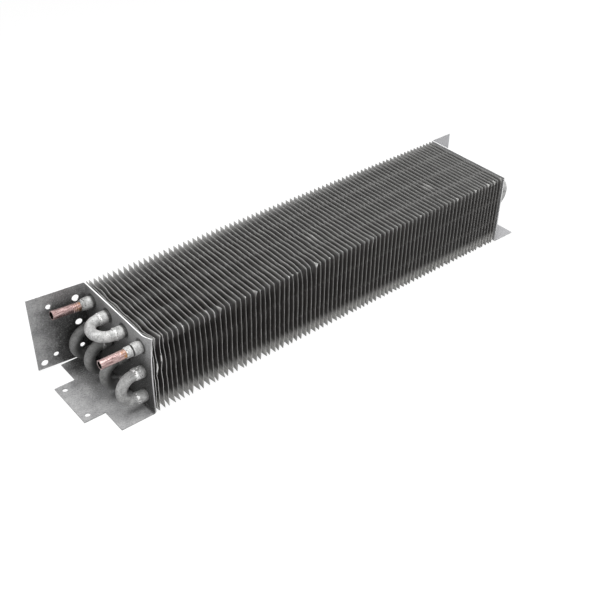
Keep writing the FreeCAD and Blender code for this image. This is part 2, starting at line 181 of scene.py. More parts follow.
def mill_finish_sheet():
    """Mill-finish aluminium sheet, oxidised: a soft dull grey with cloudy stains and fine specks. The
    near plate has painted shade by its folds, low on its web and round its tubes, where flux also burnt
    dark; the far one is painted paler, and some cut edges are bare and bright, with a painted highlight."""
    sheet = bare_material("mill_finish_aluminium_sheet")
    place = add(sheet, "ShaderNodeTexCoord", {})["Object"]
    parts = add(sheet, "ShaderNodeSeparateXYZ", {"Vector": place})
    facing = add(sheet, "ShaderNodeNewGeometry", {})["True Normal"]
    facing = add(sheet, "ShaderNodeSeparateXYZ", {"Vector": facing})
    cloud_width = 14 * mm
    clouds = add(sheet, "ShaderNodeTexNoise",
                 {"Vector": place, "Scale": 1 / cloud_width, "Detail": 5.0, "Roughness": 0.65})["Fac"]
    speck_width = 1.3 * mm  # real oxide specks are finer and would not show at this size
    specks = add(sheet, "ShaderNodeTexNoise",
                 {"Vector": place, "Scale": 1 / speck_width, "Detail": 2.0, "Roughness": 0.7})["Fac"]
    stain = add(sheet, "ShaderNodeMapRange", {"Value": clouds, "From Min": 0.35, "From Max": 0.65})[0]
    colour = add(sheet, "ShaderNodeMix", {0: stain, 6: linear("9f9fa0"), 7: linear("b8b8b8")},
                 data_type="RGBA")[2]
    dark_speck = add(sheet, "ShaderNodeMapRange",
                     {"Value": specks, "From Min": 0.47, "From Max": 0.32, "To Max": 0.6})[0]
    pale_speck = add(sheet, "ShaderNodeMapRange",
                     {"Value": specks, "From Min": 0.56, "From Max": 0.72, "To Max": 0.6})[0]
    # The far plate is painted paler.
    paler_far_plate = add(sheet, "ShaderNodeMapRange",
                  {"Value": parts["X"], "From Min": far_web_x, "From Max": far_web_x + 4 * mm,
                   "To Max": 0.6})[0]
    # Painted shade by the folds, low on the web and round the tubes.
    painted_shade = painted_shade_on_near_plate(sheet, parts, clouds, specks, facing)
    # Bare cut edges with a painted highlight.
    cut_edge_highlight = cut_edges_with_painted_highlight(sheet, parts, facing)
    for amount, tone in ((dark_speck, "727273"), (pale_speck, "d0d0d0"), (paler_far_plate, "c4c4c7"),
                         (painted_shade, "2c2c2b"), (cut_edge_highlight, "f4f4f4")):
        colour = add(sheet, "ShaderNodeMix", {0: amount, 6: colour, 7: linear(tone)},
                     data_type="RGBA")[2]
    normal = add(sheet, "ShaderNodeBump", {"Height": specks, "Strength": 0.3, "Distance": 0.1 * mm})[0]
    rough = add(sheet, "ShaderNodeMapRange",
                {"Value": clouds, "From Min": 0.3, "From Max": 0.7, "To Min": 0.48, "To Max": 0.62})[0]
    surface = add(sheet, "ShaderNodeBsdfPrincipled",
                  {"Base Color": colour, "Metallic": 0.25, "Roughness": rough, "Normal": normal})[0]
    add(sheet, "ShaderNodeOutputMaterial", {"Surface": surface})
    return sheet


plate_finish = mill_finish_sheet()
dress("near_end_plate", plate_finish)


# The far end plate: the same sheet with the same folds, both flanges turned away from the fins.
# The twelve tube runs pass through it and turn back behind it.

dress("far_end_plate", plate_finish)


# The hairpin tubes: six aluminium tubes bent into a U behind the far plate, with both near ends
# opened into bells. Flux and leak-test bath left them a rough matt pale grey.

last_column_front = block_back - 22 * mm
last_column_middle = block_back - 16 * mm


def painted_shade_on_tube(tube, parts):
    """How much painted shade a tube has, from 0 to 1: low down and towards the back, a little less on
    the side that faces the near end, which is painted as lit, and all down the last column below the top
    row."""
    low_down = add(tube, "ShaderNodeMapRange",
                   {"Value": parts["Z"], "From Min": 56 * mm, "From Max": 44 * mm})[0]
    near_back = add(tube, "ShaderNodeMapRange",
                    {"Value": parts["Y"], "From Min": block_front + 18 * mm,
                     "From Max": block_front + 32 * mm, "To Min": 0.22, "To Max": 0.76})[0]
    facing = add(tube, "ShaderNodeNewGeometry", {})["Normal"]
    facing = add(tube, "ShaderNodeSeparateXYZ", {"Vector": facing})["X"]
    # Less painted shade on the side facing the near end, as painted light.
    shade_by_facing = add(tube, "ShaderNodeMapRange",
                {"Value": facing, "From Min": -0.9, "From Max": 0.0, "To Min": 0.8, "To Max": 1.2})[0]
    painted_shade = low_down
    for limit in (near_back, shade_by_facing):
        painted_shade = add(tube, "ShaderNodeMath", {0: painted_shade, 1: limit}, operation="MULTIPLY")[0]
    last_column = add(tube, "ShaderNodeMapRange",
                      {"Value": parts["Y"], "From Min": last_column_front,
                       "From Max": last_column_middle, "To Max": 0.45})[0]
    below_top_row = add(tube, "ShaderNodeMapRange",
                        {"Value": parts["Z"], "From Min": 62 * mm, "From Max": 54 * mm})[0]
    last_column = add(tube, "ShaderNodeMath", {0: last_column, 1: below_top_row},
                      operation="MULTIPLY")[0]
    return add(tube, "ShaderNodeMath", {0: painted_shade, 1: last_column}, operation="MAXIMUM")[0]


def burnt_and_shaded_foot(tube, parts):
    """How dark the foot of a bell is at the near plate, from flux burnt there and painted shade, from 0
    to 1, least in the front column."""
    # Flux burnt dark and painted shade where the bell meets the plate.
    by_plate = add(tube, "ShaderNodeMapRange",
                   {"Value": parts["X"], "From Min": web_x - 3 * mm, "From Max": web_x - 1.6 * mm,
                    "To Max": 0.85})[0]
    outside = add(tube, "ShaderNodeMath", {0: parts["X"], 1: web_x}, operation="LESS_THAN")[0]
    behind_front = add(tube, "ShaderNodeMapRange",
                       {"Value": parts["Y"], "From Min": block_front + 20 * mm,
                        "From Max": block_front + 28 * mm, "To Min": 0.35})[0]
    burnt_and_shaded = by_plate
    for limit in (outside, behind_front):
        burnt_and_shaded = add(tube, "ShaderNodeMath", {0: burnt_and_shaded, 1: limit}, operation="MULTIPLY")[0]
    return burnt_and_shaded


def flux_stained_tube():
    """Drawn aluminium tube under dried flux: matt pale grey, mottled, with a skin like fine sand, with
    painted shade low at the back, and burnt dark with painted shade where it comes out of the near
    plate."""
    tube = bare_material("flux_stained_aluminium_tube")
    place = add(tube, "ShaderNodeTexCoord", {})["Object"]
    parts = add(tube, "ShaderNodeSeparateXYZ", {"Vector": place})
    mottle_width = 5 * mm
    mottle = add(tube, "ShaderNodeTexNoise",
                 {"Vector": place, "Scale": 1 / mottle_width, "Detail": 5.0, "Roughness": 0.65})["Fac"]
    grain_width = 0.9 * mm  # real flux grains are finer and would not show
    grain = add(tube, "ShaderNodeTexNoise",
                {"Vector": place, "Scale": 1 / grain_width, "Detail": 3.0, "Roughness": 0.6})["Fac"]
    patches = add(tube, "ShaderNodeMapRange", {"Value": mottle, "From Min": 0.35, "From Max": 0.65})[0]
    colour = add(tube, "ShaderNodeMix", {0: patches, 6: linear("949493"), 7: linear("dcdcdb")},
                 data_type="RGBA")[2]
    pits = add(tube, "ShaderNodeMapRange",
               {"Value": grain, "From Min": 0.46, "From Max": 0.3, "To Max": 0.7})[0]
    salt = add(tube, "ShaderNodeMapRange",
               {"Value": grain, "From Min": 0.56, "From Max": 0.7, "To Max": 0.5})[0]
    # Painted shade low at the back, and a burnt foot with painted shade by the near plate.
    painted_shade = painted_shade_on_tube(tube, parts)
    burnt_and_shaded = burnt_and_shaded_foot(tube, parts)
    for amount, tone in ((pits, "6c6c6b"), (salt, "e8e8e7"), (painted_shade, "474746"), (burnt_and_shaded, "2c2b2a")):
        colour = add(tube, "ShaderNodeMix", {0: amount, 6: colour, 7: linear(tone)},
                     data_type="RGBA")[2]
    normal = add(tube, "ShaderNodeBump", {"Height": grain, "Strength": 0.85, "Distance": 0.35 * mm})[0]
    rough = add(tube, "ShaderNodeMapRange",
                {"Value": mottle, "From Min": 0.35, "From Max": 0.65, "To Min": 0.4, "To Max": 0.62})[0]
    surface = add(tube, "ShaderNodeBsdfPrincipled",
                  {"Base Color": colour, "Metallic": 0.15, "Roughness": rough, "Normal": normal})[0]
    add(tube, "ShaderNodeOutputMaterial", {"Surface": surface})
    return tube


tube_finish = flux_stained_tube()
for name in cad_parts:
    if name.startswith("hairpin_"):
        dress(name, tube_finish)


# The fins: eighty-three sheets of thin aluminium, pressed on the tubes five to the inch. Each
# has twelve tube holes and a free edge all round. Handling has waved the edges, leaned the fins
# near the plate, folded a few corners over and scuffed two of the front rims.

fin_sheet = 0.25 * mm
fin_hole_radius = 4.8 * mm
fin_columns = 4
fin_rows = 3
points_round_hole = 24
ring_shares = [0.35, 0.7, 1.0]
merge_distance = 0.01 * mm
fin_low, fin_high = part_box("fins_14")
column_y = [block_front + (column + 0.5) * tube_spacing for column in range(fin_columns)]
row_z = [(row + 0.5) * tube_spacing for row in range(fin_rows)]


def fin_cell():
    """The square of fin round one tube hole, flat in the y, z plane, grown out in three rings."""
    cell = bmesh.new()
    bmesh.ops.create_circle(cell, segments=points_round_hole, radius=fin_hole_radius,
                            matrix=Matrix.Rotation(math.radians(90), 4, "Y"))
    rim = cell.edges[:]
    for share in ring_shares:
        grown = bmesh.ops.extrude_edge_only(cell, edges=rim)["geom"]
        for vert in [item for item in grown if isinstance(item, bmesh.types.BMVert)]:
            angle = math.atan2(vert.co.z, vert.co.y)
            to_side = tube_spacing / 2 / max(abs(math.cos(angle)), abs(math.sin(angle)))
            radius = fin_hole_radius + (to_side - fin_hole_radius) * share
            vert.co = Vector((0, math.cos(angle) * radius, math.sin(angle) * radius))
        rim = [item for item in grown if isinstance(item, bmesh.types.BMEdge)]
    return cell


def flat_fin():
    """A whole flat fin at x = 0, of twelve squares."""
    square = bpy.data.meshes.new("fin_square")
    fin_cell().to_mesh(square)
    sheet = bmesh.new()
    for y in column_y:
        for z in row_z:
            already = len(sheet.verts)
            sheet.from_mesh(square)
            sheet.verts.ensure_lookup_table()
            bmesh.ops.translate(sheet, verts=sheet.verts[already:], vec=Vector((0, y, z)))
    bmesh.ops.remove_doubles(sheet, verts=sheet.verts, dist=merge_distance)
    for vert in sheet.verts:
        vert.co.y = min(max(vert.co.y, fin_low.y), fin_high.y)
        vert.co.z = min(max(vert.co.z, fin_low.z), fin_high.z)
    bmesh.ops.recalc_face_normals(sheet, faces=sheet.faces)
    if sum(face.normal.x for face in sheet.faces) > 0:
        bmesh.ops.reverse_faces(sheet, faces=sheet.faces)
    mesh = bpy.data.meshes.new("flat_fin")
    sheet.to_mesh(mesh)
    return mesh


def fin_places(node_name):
    """The x of the near face of each fin in a node, read at its bottom back corner."""
    low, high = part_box(node_name)
    corner_size = 1 * mm
    corner = [vert.co.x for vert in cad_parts[node_name].data.vertices
              if vert.co.y > high.y - corner_size and vert.co.z < low.z + corner_size]
    faces = sorted({round(x / mm, 3) for x in corner})
    return [x * mm for x in faces[::2]]


# Knocks on the fins' edges: along the coil from the near plate, from the front, height, reach,
# and how far the sheet went along x, all in millimetres.
knocks = [
    (194, 36, 76, 6, 1.0),
    (163, 3, 76, 8, 1.4),
    (120, 0, 70, 12, -1.0),
    (236, 0, 76, 10, 1.2),
    (342, 34, 76, 10, 1.2),
    (290, 0, 30, 12, 1.0),
    (6, 0, 46, 7, 0.9),
    (10, 0, 54, 7, 0.7),
]

# Corners folded over: fin number from the near plate, size of the folded part in millimetres, and its
# turn in degrees away from the near plate. A corner turned past the limit below gets a painted glint.
folded_corners = {
    8: (1.5, 75), 15: (4.2, 42), 20: (1.2, 60), 22: (4.0, 40), 23: (1.0, 60), 29: (1.2, 60),
    30: (1.4, 60), 31: (1.2, 60), 35: (3.0, 52), 38: (1.1, 60), 60: (1.6, 60), 70: (2.3, 70),
    75: (2.0, 60), 79: (2.6, 70), 81: (2.8, 75), 83: (2.6, 70),
}
glint_turn = 50

# Corners pushed over along x without a crease: fin number, and millimetres at the corner.
pushed_corners = {
    2: -0.5, 3: 0.7, 4: -0.4, 11: 0.1, 12: 0.3, 13: -0.3, 14: -0.7, 15: 0.2, 26: -0.3, 27: -0.4,
    28: -0.5, 29: -0.7, 30: -0.9, 31: -1.2, 32: -1.8, 33: -2.1, 34: -2.2, 36: -0.3, 39: -0.6,
}

# Stretches of a front rim scuffed over along x, with a painted glint along their middle: fin number,
# height of its middle, half its length, and how far the edge went, in millimetres. The scuff is as wide
# as scuff_width.
scuffed_rims = {2: (46, 6, 0.9), 3: (53, 7, 0.8)}
scuff_width = 0.9 * mm

# Waves and small creases in millimetres: their widths along the coil, from the front and upwards,
# and how far in from an edge they fade out. Both are strongest by the near plate, over plate_reach,
# and beyond calm_front_reach the front edge waves only half as much.
wave_widths = (30, 11, 16)
crease_widths = (6, 9, 7)
crease_push = 1.3
wave_depth = 10
crease_depth = 9
plate_reach = 22
calm_front_reach = 12

# A rank of fins leans together: how far at its middle, where that is along the coil, and how far
# to each side it spreads. The lean fades out down from the top, and it is less towards the back.
rank_lean = -1.7
rank_middle = 48
rank_reach = 34
lean_height = 28
lean_depth = 25

# How far the small bends of each fin's own front corners reach, top and bottom, and how far a
# corner that was pushed over does.
hook_reach = 9
low_hook_reach = 14
pushed_reach = 17

# The near plate's knocked corner took the first fins along: millimetres at the corner, the share
# that each fin got, and how far the push reached from the front and from the top.
corner_push = 3.9
corner_shares = [0.75, 0.35, 0.15, 0.05]
corner_reach_back = 22
corner_reach_down = 42


def stand_off(along, from_front, height, lean, shift):
    """How far waves, creases, the rank's lean and knocks push a fin's sheet along x, in
    millimetres."""
    to_top = block_top / mm - height
    to_edge = min(from_front, (block_back - block_front) / mm - from_front, height, to_top)
    free = max(0.0, 1 - to_edge / wave_depth) ** 1.5
    if from_front < to_top:
        free *= 0.5 + 0.5 * math.exp(-along / calm_front_reach)
    near_plate = math.exp(-along / plate_reach)
    ripple = math.sin(2 * math.pi * (from_front + height) / (tube_spacing / mm) + along / 40 + 0.8)
    offset = free * ripple * (0.1 + 0.35 * near_plate)
    wide, deep, tall = wave_widths
    waves = noise.noise(Vector((along / wide + shift, from_front / deep, height / tall)))
    offset += free * waves * (0.4 + 0.7 * near_plate)
    wide, deep, tall = crease_widths
    creases = noise.noise(Vector((along / wide, from_front / deep, height / tall)))
    by_plate = max(0.0, 1 - along / plate_reach)
    offset += creases * crease_push * by_plate * max(0.0, 1 - to_edge / crease_depth)
    to_lean = max(0.0, 1 - to_top / lean_height) ** 1.6
    offset += lean * to_lean * (0.35 + 0.65 * math.exp(-from_front / lean_depth))
    for knock_along, knock_front, knock_height, reach, push in knocks:
        away = Vector(((along - knock_along) / 0.7, from_front - knock_front, height - knock_height))
        if away.length < reach:
            offset += push * (1 - (away.length / reach) ** 2) ** 2
    return offset


top_corner = Vector((0, fin_low.y, fin_high.z))
crease = Vector((0, 1, 1)).normalized()
inwards = Vector((0, 1, -1)).normalized()


def corners_off(point, number, hook, low_hook):
    """How far a fin's bent front corners are pushed along x at a point, in millimetres."""
    from_front = (point.y - block_front) / mm
    height = point.z / mm
    to_top = block_top / mm - height
    to_corner = max(0.0, 1 - ((point - top_corner).dot(inwards) / mm) / hook_reach)
    offset = hook * to_corner ** 2
    offset += low_hook * max(0.0, 1 - (from_front + height) / low_hook_reach) ** 2
    to_corner = max(0.0, 1 - ((point - top_corner).length / mm) / pushed_reach)
    offset += pushed_corners.get(number, 0) * to_corner ** 1.5
    if number <= len(corner_shares):
        knocked = 1 - from_front / corner_reach_back - to_top / corner_reach_down
        offset += corner_push * corner_shares[number - 1] * max(0.0, knocked) ** 2
    return offset


def cut_line(sheet, point, across):
    """Cut a line through a flat sheet's faces, so that it can bend there."""
    everything = sheet.verts[:] + sheet.edges[:] + sheet.faces[:]
    bmesh.ops.bisect_plane(sheet, geom=everything, dist=merge_distance, plane_co=point,
                           plane_no=across)


def fold_corner(sheet, hinge, turn):
    """Fold a flat sheet's top front corner over at the hinge."""
    cut_line(sheet, hinge, inwards)
    flap = [vert for vert in sheet.verts if (vert.co - hinge).dot(inwards) < -merge_distance]
    bmesh.ops.rotate(sheet, verts=flap, cent=hinge,
                     matrix=Matrix.Rotation(math.radians(turn), 3, crease))


chance = random.Random(8)


def worn_fin(x, number):
    """One fin at x as a bmesh: the flat fin with its folds, its waves and its thickness. Its rims take
    the second material, the bright one, and so do a corner folded well over and the middle of a scuff,
    as painted glints."""
    along = (x - web_x) / mm
    lean = rank_lean * math.exp(-((along - rank_middle) / rank_reach) ** 2)
    lean += chance.uniform(-0.45, 0.35)
    shift = chance.uniform(-0.35, 0.35)
    hook = chance.uniform(-0.5, 0.3)
    low_hook = chance.uniform(-1.6, 1.6)
    sheet = bmesh.new()
    sheet.from_mesh(flat_fin_mesh)
    fold_size, fold_turn = folded_corners.get(number, (0, 0))
    hinge = top_corner + inwards * fold_size * mm
    if fold_turn:
        fold_corner(sheet, hinge, fold_turn)
    scuff_height, scuff_half, scuff_push = scuffed_rims.get(number, (0, 0, 0))
    scuff_line = fin_low.y + scuff_width
    if scuff_push:
        cut_line(sheet, Vector((0, scuff_line, 0)), Vector((0, 1, 0)))
    for vert in sheet.verts:
        height = vert.co.z / mm
        push = stand_off(along, (vert.co.y - block_front) / mm, height, lean, shift)
        push += corners_off(vert.co, number, hook, low_hook)
        if scuff_push and vert.co.y < fin_low.y + merge_distance:
            push += scuff_push * max(0.0, 1 - abs(height - scuff_height) / scuff_half)
        vert.co.x += x + push * mm
    bmesh.ops.solidify(sheet, geom=sheet.faces[:], thickness=fin_sheet)
    for face in sheet.faces:
        middle = face.calc_center_median()
        face.smooth = abs(face.normal.x) > 0.3
        bright = not face.smooth
        # A corner folded well over and the middle of a scuff take the bright material as a painted
        # glint.
        if fold_turn > glint_turn:
            from_hinge = middle - Vector((x, 0, 0)) - hinge
            bright = bright or from_hinge.dot(inwards) < -0.1 * mm
        if scuff_push and middle.y < scuff_line:
            bright = bright or abs(middle.z / mm - scuff_height) < 0.7 * scuff_half
        face.material_index = 1 if bright else 0
    return sheet


# Where a highlight is painted on the tops of the fins, by two knocks, and how far it reaches each way.
highlight_spots = [Vector((web_x + along, block_front + 36 * mm, block_top))
                for along in (195 * mm, 343 * mm)]
highlight_size = Vector((4.5 * mm, 10 * mm, 5 * mm))


def painted_light_at_foot(stock, parts, streaks, far_along):
    """How much painted light pales a fin at its foot, from 0 to 1: streaked, and a little less far
    along.
    """
    low_down = add(stock, "ShaderNodeMapRange",
                   {"Value": parts["Z"], "From Min": 14 * mm, "From Max": 8 * mm})[0]
    above_tip = add(stock, "ShaderNodeMapRange",
                    {"Value": parts["Z"], "From Min": 0.5 * mm, "From Max": 4.5 * mm, "To Min": 0.5})[0]
    mottled = add(stock, "ShaderNodeMapRange",
                  {"Value": streaks, "From Min": 0.38, "From Max": 0.6, "To Min": 0.65})[0]
    near_end = add(stock, "ShaderNodeMapRange", {"Value": far_along, "To Min": 1.0, "To Max": 0.75})[0]
    for limit in (above_tip, mottled, near_end):
        low_down = add(stock, "ShaderNodeMath", {0: low_down, 1: limit}, operation="MULTIPLY")[0]
    return low_down


def painted_light_at_back(stock, parts, far_along):
    """How much painted light pales a fin along its back edge, from 0 to 1, and less far along."""
    to_back = add(stock, "ShaderNodeMath", {0: block_back, 1: parts["Y"]}, operation="SUBTRACT")[0]
    at_back = add(stock, "ShaderNodeMapRange",
                  {"Value": to_back, "From Min": 11 * mm, "From Max": 1 * mm, "To Max": 0.7})[0]
    less_far = add(stock, "ShaderNodeMapRange", {"Value": far_along, "To Min": 1.0, "To Max": 0.4})[0]
    return add(stock, "ShaderNodeMath", {0: at_back, 1: less_far}, operation="MULTIPLY")[0]


def painted_highlight_round_spot(stock, place, spot):
    """How much painted highlight a fin's top has round a spot, from 0 to 1."""
    away = add(stock, "ShaderNodeVectorMath", {0: place, 1: spot}, operation="SUBTRACT")[0]
    away = add(stock, "ShaderNodeVectorMath", {0: away, 1: highlight_size}, operation="DIVIDE")[0]
    away = add(stock, "ShaderNodeVectorMath", {0: away}, operation="LENGTH")["Value"]
    return add(stock, "ShaderNodeMapRange",
               {"Value": away, "From Min": 1.0, "From Max": 0.5, "To Max": 0.65})[0]


def oxidised_fin_stock():
    """Thin aluminium fin stock, oxidised: a dull grey with a touch of brown, streaked by rolling. It is
    paler in a band along the top and the front, and darker inside as painted shade. Painted light makes
    the foot and the back edge palest, and two spots on the tops carry a painted highlight."""
    stock = bare_material("oxidised_aluminium_fin_stock")
    place = add(stock, "ShaderNodeTexCoord", {})["Object"]
    streak_width = 1.5 * mm  # real rolling lines are finer and would not show
    along_rolling = add(stock, "ShaderNodeMapping", {"Vector": place, "Scale": (1.0, 0.12, 1.0)})[0]
    streaks = add(stock, "ShaderNodeTexNoise",
                  {"Vector": along_rolling, "Scale": 1 / streak_width, "Detail": 3.0})["Fac"]
    cloud_width = 15 * mm
    clouds = add(stock, "ShaderNodeTexNoise",
                 {"Vector": place, "Scale": 1 / cloud_width, "Detail": 3.0})["Fac"]
    parts = add(stock, "ShaderNodeSeparateXYZ", {"Vector": place})
    to_top = add(stock, "ShaderNodeMath", {0: block_top, 1: parts["Z"]}, operation="SUBTRACT")[0]
    to_front = add(stock, "ShaderNodeMath", {0: parts["Y"], 1: block_front}, operation="SUBTRACT")[0]
    below_top = add(stock, "ShaderNodeMapRange",
                    {"Value": to_top, "From Min": 1.2 * mm, "From Max": 4.8 * mm})[0]
    behind_front = add(stock, "ShaderNodeMapRange",
                       {"Value": to_front, "From Min": 0.2 * mm, "From Max": 1.2 * mm})[0]
    # Painted shade inside the fin, away from its top and front edges.
    inside = add(stock, "ShaderNodeMath", {0: below_top, 1: behind_front}, operation="MULTIPLY")[0]
    far_along = add(stock, "ShaderNodeMapRange",
                    {"Value": parts["X"], "From Min": web_x + 30 * mm, "From Max": web_x + 330 * mm})[0]
    painted_shade_colour = add(stock, "ShaderNodeMix", {0: far_along, 6: linear("494645"), 7: linear("555352")},
                data_type="RGBA")[2]
    cloudy = add(stock, "ShaderNodeMapRange", {"Value": clouds, "From Min": 0.35, "From Max": 0.65})[0]
    band = add(stock, "ShaderNodeMix", {0: cloudy, 6: linear("828180"), 7: linear("8f8f8d")},
               data_type="RGBA")[2]
    rolled = add(stock, "ShaderNodeMapRange",
                 {"Value": streaks, "From Min": 0.5, "From Max": 0.75, "To Max": 0.5})[0]
    duller = add(stock, "ShaderNodeMath", {0: far_along, 1: 0.42}, operation="MULTIPLY")[0]
    for amount, tone in ((rolled, "a9a9a6"), (duller, "5c5c5b")):
        band = add(stock, "ShaderNodeMix", {0: amount, 6: band, 7: linear(tone)},
                   data_type="RGBA")[2]
    colour = add(stock, "ShaderNodeMix", {0: inside, 6: band, 7: painted_shade_colour}, data_type="RGBA")[2]
    # Painted light at the foot and along the back edge.
    marks = [(painted_light_at_foot(stock, parts, streaks, far_along), "dad9d6"),
             (painted_light_at_back(stock, parts, far_along), "d8d7d5")]
    # Painted highlights on the tops, by two knocks.
    marks += [(painted_highlight_round_spot(stock, place, spot), "c4c3c1") for spot in highlight_spots]
    for amount, tone in marks:
        colour = add(stock, "ShaderNodeMix", {0: amount, 6: colour, 7: linear(tone)},
                     data_type="RGBA")[2]
    surface = add(stock, "ShaderNodeBsdfPrincipled",
                  {"Base Color": colour, "Metallic": 0.2, "Roughness": 0.5})[0]
    add(stock, "ShaderNodeOutputMaterial", {"Surface": surface})
    return stock


def fin_edge_with_painted_glints():
    """The sheared rim of a fin: bare aluminium in a thin line, with painted glints in some places and
    bright painted glints down the front beside the near plate, and duller far along. Folded corners and
    scuffs take it as a painted glint."""
    edge = bare_material("fin_edge_with_painted_glints")
    place = add(edge, "ShaderNodeTexCoord", {})["Object"]
    nick_and_glint_length = 4 * mm
    nicks_and_glints = add(edge, "ShaderNodeTexNoise",
                {"Vector": place, "Scale": 1 / nick_and_glint_length, "Detail": 3.0})["Fac"]
    # Nicks and painted glints along the rim.
    nicked_and_glinting = add(edge, "ShaderNodeMapRange", {"Value": nicks_and_glints, "From Min": 0.4, "From Max": 0.75})[0]
    colour = add(edge, "ShaderNodeMix", {0: nicked_and_glinting, 6: linear("8c8c8a"), 7: linear("d2d2d0")},
                 data_type="RGBA")[2]
    parts = add(edge, "ShaderNodeSeparateXYZ", {"Vector": place})
    by_plate = add(edge, "ShaderNodeMapRange",
                   {"Value": parts["X"], "From Min": web_x + 17 * mm, "From Max": web_x + 11 * mm,
                    "To Max": 0.85})[0]
    at_front = add(edge, "ShaderNodeMapRange",
                   {"Value": parts["Y"], "From Min": block_front + 3 * mm,
                    "From Max": block_front + 2 * mm})[0]
    # A bright painted glint down the front beside the near plate.
    pale_patches = add(edge, "ShaderNodeMath", {0: by_plate, 1: at_front}, operation="MULTIPLY")[0]
    duller = add(edge, "ShaderNodeMapRange",
                 {"Value": parts["X"], "From Min": web_x + 150 * mm, "From Max": web_x + 330 * mm,
                  "To Max": 0.35})[0]
    for amount, tone in ((pale_patches, "f4f4f2"), (duller, "7a7a77")):
        colour = add(edge, "ShaderNodeMix", {0: amount, 6: colour, 7: linear(tone)},
                     data_type="RGBA")[2]
    surface = add(edge, "ShaderNodeBsdfPrincipled",
                  {"Base Color": colour, "Metallic": 0.3, "Roughness": 0.45})[0]
    add(edge, "ShaderNodeOutputMaterial", {"Surface": surface})
    return edge


def show_piece(mesh, node_name):
    """Put a finished mesh in the scene in place of a CAD node."""
    piece = bpy.data.objects.new(mesh.name, mesh)
    bpy.context.scene.collection.objects.link(piece)
    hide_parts(node_name)
    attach(piece, "root")


flat_fin_mesh = flat_fin()
fin_stock = oxidised_fin_stock()
fin_edge_and_glints = fin_edge_with_painted_glints()
fin_number = 0
for name in sorted(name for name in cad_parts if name.startswith("fins_")):
    group = bmesh.new()
    for x in fin_places(name):
        fin_number += 1
        one_fin = bpy.data.meshes.new("one_fin")
        worn_fin(x, fin_number).to_mesh(one_fin)
        group.from_mesh(one_fin)
    fins_mesh = bpy.data.meshes.new("worn_" + name)
    group.to_mesh(fins_mesh)
    fins_mesh.materials.append(fin_stock)
    fins_mesh.materials.append(fin_edge_and_glints)
    show_piece(fins_mesh, name)


# The return bends: five short aluminium U tubes, pushed into neighbouring bells at the near end
# and brazed there. One lies level in the top row and four stand upright.

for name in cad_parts:
    if name.startswith("return_bend_"):
        dress(name, tube_finish)


# The sleeves: two short aluminium tubes, pushed into the top bells of the first and the last
# column and brazed there. They carry the copper stubs.

for name in ("sleeve_front", "sleeve_back"):
    dress(name, tube_finish)


# The braze: aluminium filler that ran round the mouth of each bell and sleeve by hand torch, and
# set there in an uneven, shiny ring.

tube_radius = 9.525 / 2 * mm
bell_radius = tube_radius + 0.65 * mm
stub_neck_radius = (7.94 / 2 - 0.25) * mm
bell_mouth = web_x - 8.2 * mm
front_sleeve_mouth = bell_mouth - 5.1 * mm
back_sleeve_mouth = bell_mouth - 2.6 * mm
points_round_ring = 36

# The lumps on the filler, and the waves of its edge on the tube: how far apart, and how high.
lump_spacing = 2.2 * mm
lump_height = 0.45 * mm
edge_wave_spacing = 3 * mm
edge_wave_height = 0.6 * mm


def braze_ring(group, y, z, x, inner_radius, outer_radius, height, overrun, seed):
    """Add one uneven fillet of filler, round the tube axis at y, z, on a mouth at x. It also ran
    back over the outside of the bell by the overrun, in lumps."""
    ring = bmesh.new()
    # The fillet's section, point by point: how far along the bell from the mouth, and the radius.
    section = [(overrun, inner_radius), (overrun, outer_radius - 0.15 * mm),
               (0.7 * overrun, outer_radius), (0.35 * overrun, outer_radius + 0.05 * mm),
               (-0.1 * height, outer_radius + 0.05 * mm), (-0.5 * height, outer_radius - 0.1 * mm),
               (-height, inner_radius + 0.15 * mm), (-1.4 * height, inner_radius - 0.1 * mm)]
    verts = [ring.verts.new((x + shift, y, z + radius)) for shift, radius in section]
    edges = [ring.edges.new((first, second)) for first, second in zip(verts, verts[1:] + verts[:1])]
    bmesh.ops.spin(ring, geom=verts + edges, cent=(x, y, z), axis=(1, 0, 0), dvec=(0, 0, 0),
                   angle=math.radians(360), steps=points_round_ring, use_merge=True)
    bmesh.ops.remove_doubles(ring, verts=ring.verts, dist=0.001 * mm)
    for vert in ring.verts:
        out = Vector((0, vert.co.y - y, vert.co.z - z))
        lump = noise.noise(vert.co / lump_spacing + Vector((seed, 0, 0)))
        if out.length > inner_radius + 0.05 * mm:
            vert.co += out.normalized() * lump * lump_height
        if vert.co.x < x:
            edge_wave = noise.noise(out / edge_wave_spacing + Vector((seed, 5, 0)))
            vert.co.x += edge_wave_height * edge_wave
    bmesh.ops.recalc_face_normals(ring, faces=ring.faces)
    for face in ring.faces:
        face.smooth = True
    one_ring = bpy.data.meshes.new("one_ring")
    ring.to_mesh(one_ring)
    group.from_mesh(one_ring)


